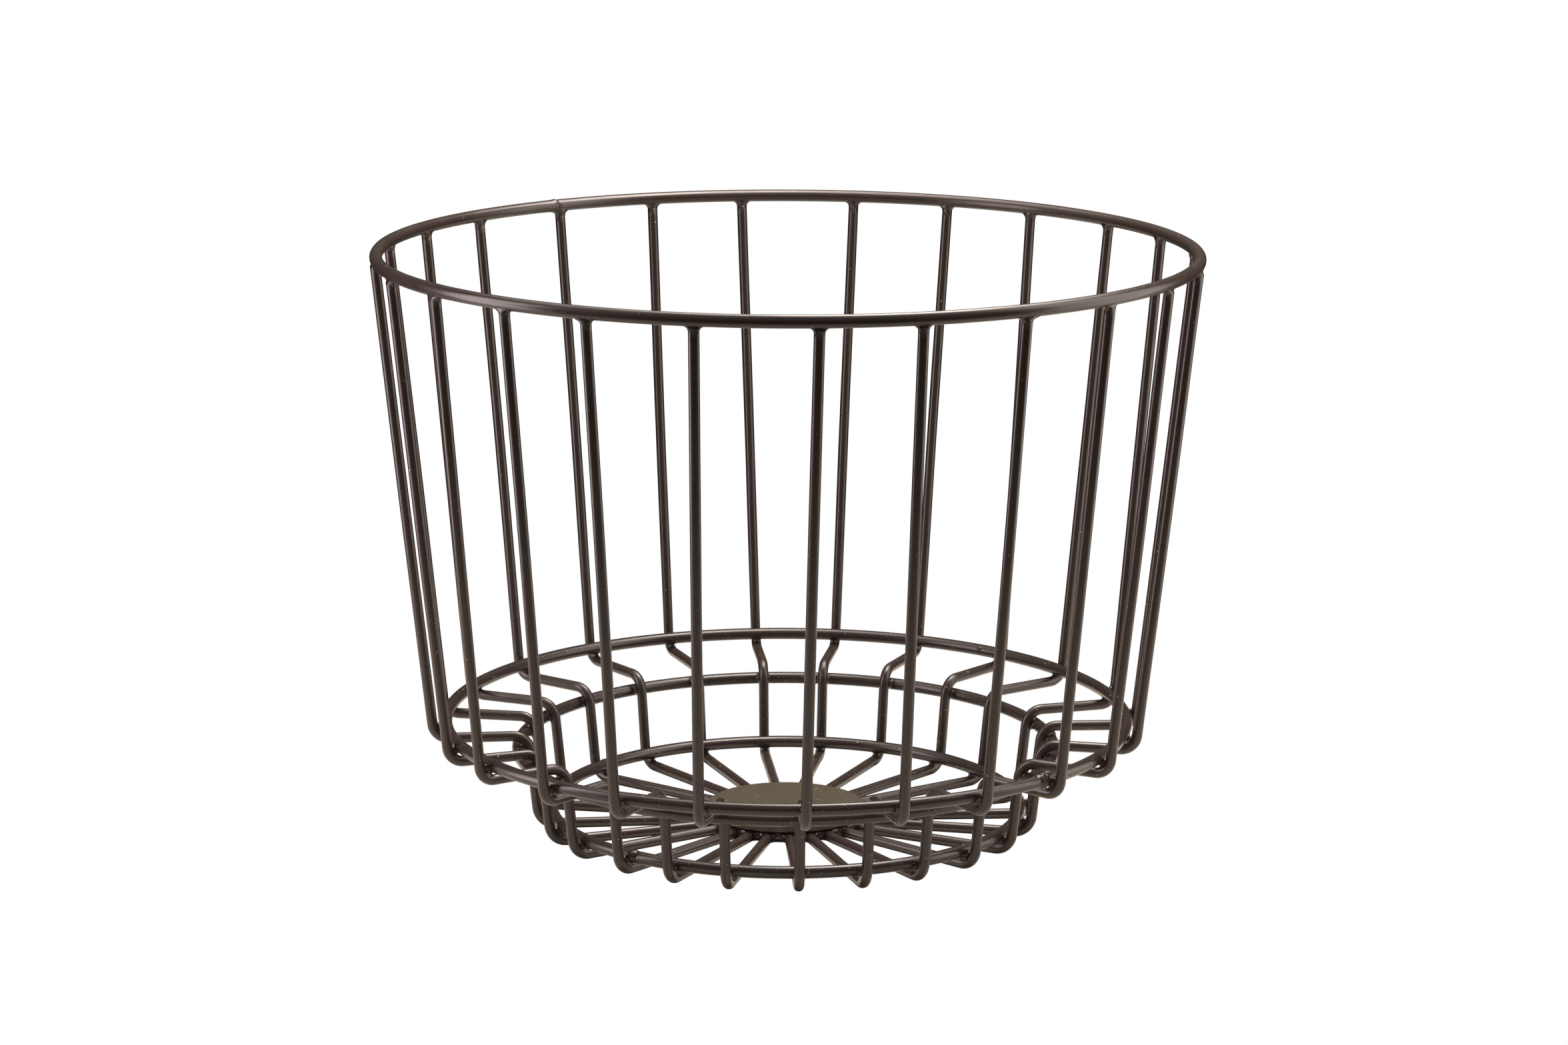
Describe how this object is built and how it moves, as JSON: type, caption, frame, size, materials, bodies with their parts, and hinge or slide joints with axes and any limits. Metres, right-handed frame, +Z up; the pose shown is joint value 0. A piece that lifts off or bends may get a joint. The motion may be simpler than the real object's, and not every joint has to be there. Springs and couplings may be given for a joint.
{
  "type": "wire produce basket",
  "caption": "Round open wire basket: tapered ribbed wall stepping in to a short ringed foot, with a flat disc at the centre of the floor.",
  "frame": {"origin": "centre of the foot, on the plane the basket rests on", "axes": "+Z up through the centre of the rings, -Y towards the front, azimuths of the ribs counted from -Y towards +X"},
  "size_m": [0.2598, 0.2598, 0.1865],
  "materials": {
    "rim_coat": "satin dark brown-black powder coat",
    "ring_coat": "satin dark brown-black powder coat",
    "rib_coat": "satin dark brown-black powder coat",
    "disc_coat": "satin dark brown-black powder coat with pale specks"
  },
  "bodies": {
    "root": {"rim_ring": "rim_coat", "shoulder_ring": "ring_coat", "foot_top_ring": "ring_coat", "base_ring": "ring_coat", "hub_ring": "ring_coat", "centre_disc": "disc_coat", "rib_01": "rib_coat", "rib_02": "rib_coat", "rib_03": "rib_coat", "rib_04": "rib_coat", "rib_05": "rib_coat", "rib_06": "rib_coat", "rib_07": "rib_coat", "rib_08": "rib_coat", "rib_09": "rib_coat", "rib_10": "rib_coat", "rib_11": "rib_coat", "rib_12": "rib_coat", "rib_13": "rib_coat", "rib_14": "rib_coat", "rib_15": "rib_coat", "rib_16": "rib_coat", "rib_17": "rib_coat", "rib_18": "rib_coat", "rib_19": "rib_coat", "rib_20": "rib_coat", "rib_21": "rib_coat", "rib_22": "rib_coat", "rib_23": "rib_coat", "rib_24": "rib_coat"}
  },
  "joints": []
}
